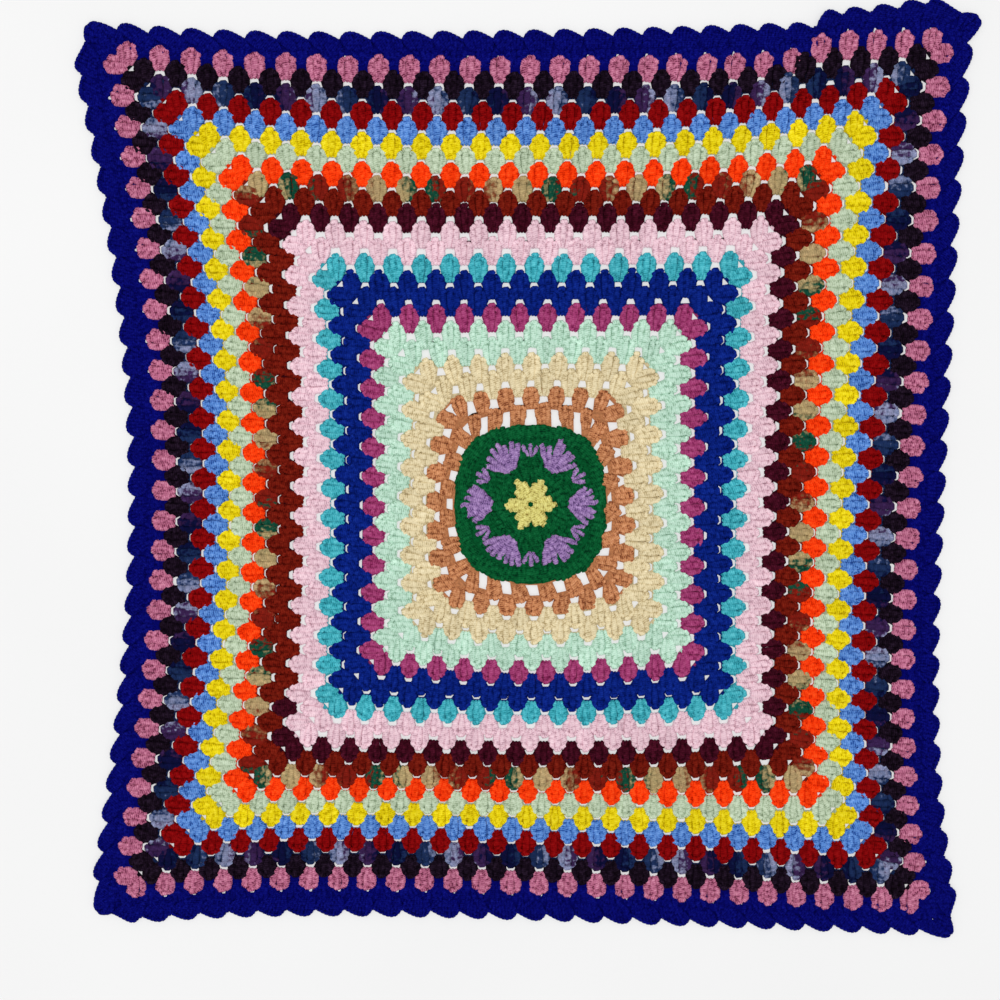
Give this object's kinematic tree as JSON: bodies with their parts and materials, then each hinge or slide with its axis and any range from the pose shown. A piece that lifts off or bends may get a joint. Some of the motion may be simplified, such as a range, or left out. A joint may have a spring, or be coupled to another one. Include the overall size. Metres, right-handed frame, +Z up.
{
  "type": "granny square blanket",
  "caption": "Square crocheted blanket worked in the round, with clusters in coloured rounds, a shell motif at its centre and a scalloped edging, lying flat.",
  "frame": {"origin": "on the surface, under the middle of the blanket's outline", "axes": "+Z up out of the blanket's face, +Y along its length, +X across its width"},
  "size_m": [0.878, 0.9292, 0.0064],
  "materials": {
    "rounds_yarn": "matt worsted acrylic yarn in a different colour for each round",
    "edging_yarn": "matt worsted acrylic yarn, navy blue"
  },
  "bodies": {
    "root": {"granny_square": "rounds_yarn", "shell_edging": "edging_yarn"}
  },
  "joints": []
}
